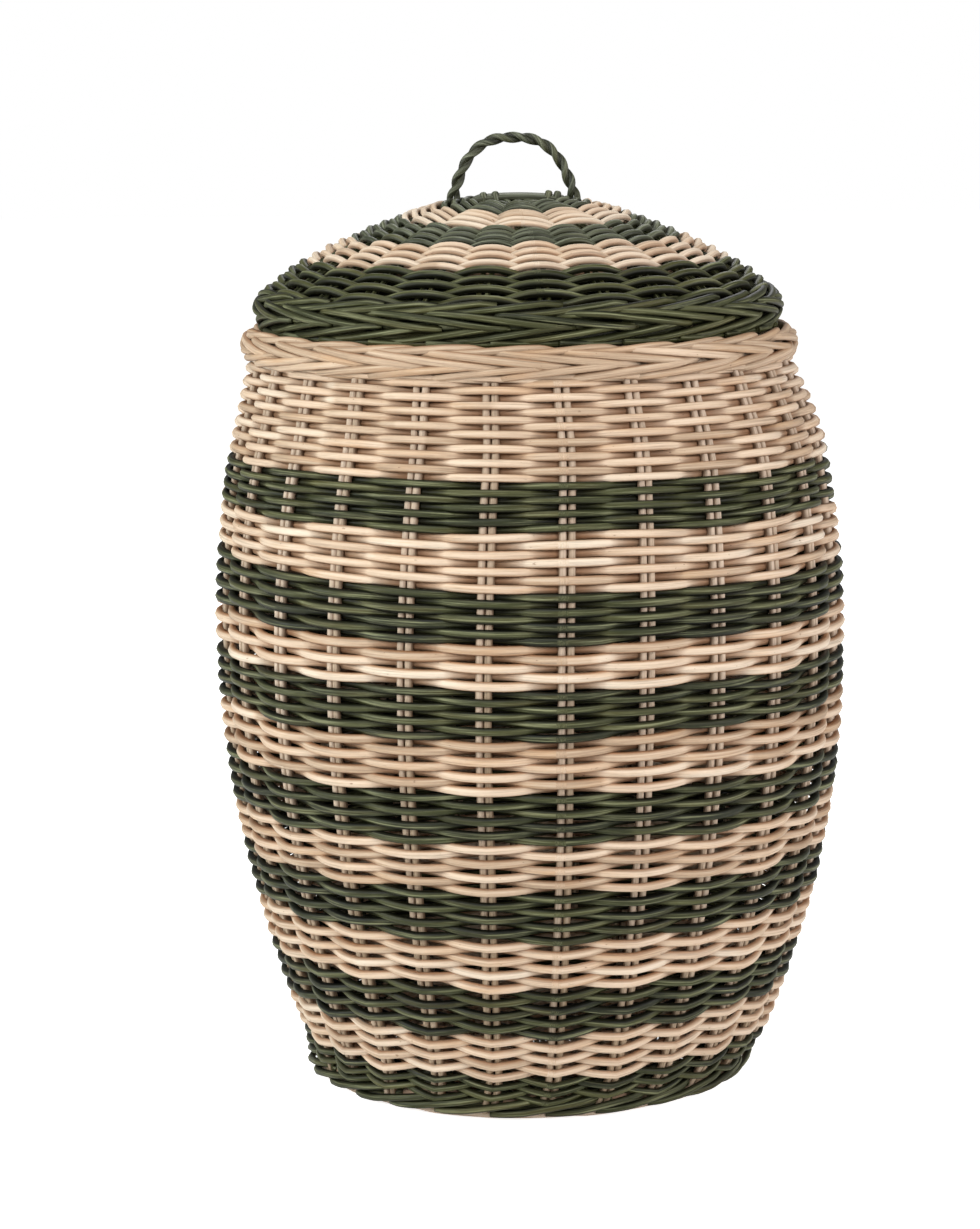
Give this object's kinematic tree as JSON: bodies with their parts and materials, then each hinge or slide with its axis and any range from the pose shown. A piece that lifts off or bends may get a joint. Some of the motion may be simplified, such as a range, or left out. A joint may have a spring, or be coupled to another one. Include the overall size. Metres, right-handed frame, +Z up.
{
  "type": "laundry basket",
  "caption": "Round barrel-shaped laundry basket woven from natural and green cane, with a plaited rim, a domed lift-off lid and a twisted cane loop handle.",
  "frame": {"origin": "centre of the foot ring on the floor", "axes": "+Z up along the basket's axis, -Y towards the front, the handle arches over along X"},
  "size_m": [0.4038, 0.4062, 0.6013],
  "materials": {
    "natural_cane": "matt natural cane",
    "stake_cane": "matt natural cane",
    "green_cane": "matt cane dyed dark olive green"
  },
  "bodies": {
    "basket": {"base_sticks": "natural_cane", "base_weave": "natural_cane", "foot_border_natural": "natural_cane", "foot_waling_green": "green_cane", "rim_border_natural": "natural_cane", "stake_pair_01": "stake_cane", "stake_pair_02": "stake_cane", "stake_pair_03": "stake_cane", "stake_pair_04": "stake_cane", "stake_pair_05": "stake_cane", "stake_pair_06": "stake_cane", "stake_pair_07": "stake_cane", "stake_pair_08": "stake_cane", "stake_pair_09": "stake_cane", "stake_pair_10": "stake_cane", "stake_pair_11": "stake_cane", "stake_pair_12": "stake_cane", "stake_pair_13": "stake_cane", "stake_pair_14": "stake_cane", "stake_pair_15": "stake_cane", "stake_pair_16": "stake_cane", "stake_pair_17": "stake_cane", "stake_pair_18": "stake_cane", "stake_pair_19": "stake_cane", "stake_pair_20": "stake_cane", "stake_pair_21": "stake_cane", "stake_pair_22": "stake_cane", "stake_pair_23": "stake_cane", "stake_pair_24": "stake_cane", "stake_pair_25": "stake_cane", "stake_pair_26": "stake_cane", "wall_band_01_natural": "natural_cane", "wall_band_02_green": "green_cane", "wall_band_03_natural": "natural_cane", "wall_band_04_green": "green_cane", "wall_band_05_natural": "natural_cane", "wall_band_06_green": "green_cane", "wall_band_07_natural": "natural_cane", "wall_band_08_green": "green_cane", "wall_band_09_natural": "natural_cane", "wall_band_10_green": "green_cane", "wall_band_11_natural": "natural_cane", "wall_band_12_green": "green_cane", "wall_band_13_natural": "natural_cane", "wall_band_14_green": "green_cane"},
    "lid": {"handle_strand_a": "green_cane", "handle_strand_b": "green_cane", "lid_band_inner_green": "green_cane", "lid_band_inner_natural": "natural_cane", "lid_band_outer_green": "green_cane", "lid_band_outer_natural": "natural_cane", "lid_border_green": "green_cane", "lid_crown_green": "green_cane", "lid_stakes": "green_cane"}
  },
  "joints": [
    {"name": "lid_lift", "type": "slide", "parent": "basket", "child": "lid", "axis": [0, 0, 1], "range_m": [0, 0.25]}
  ]
}
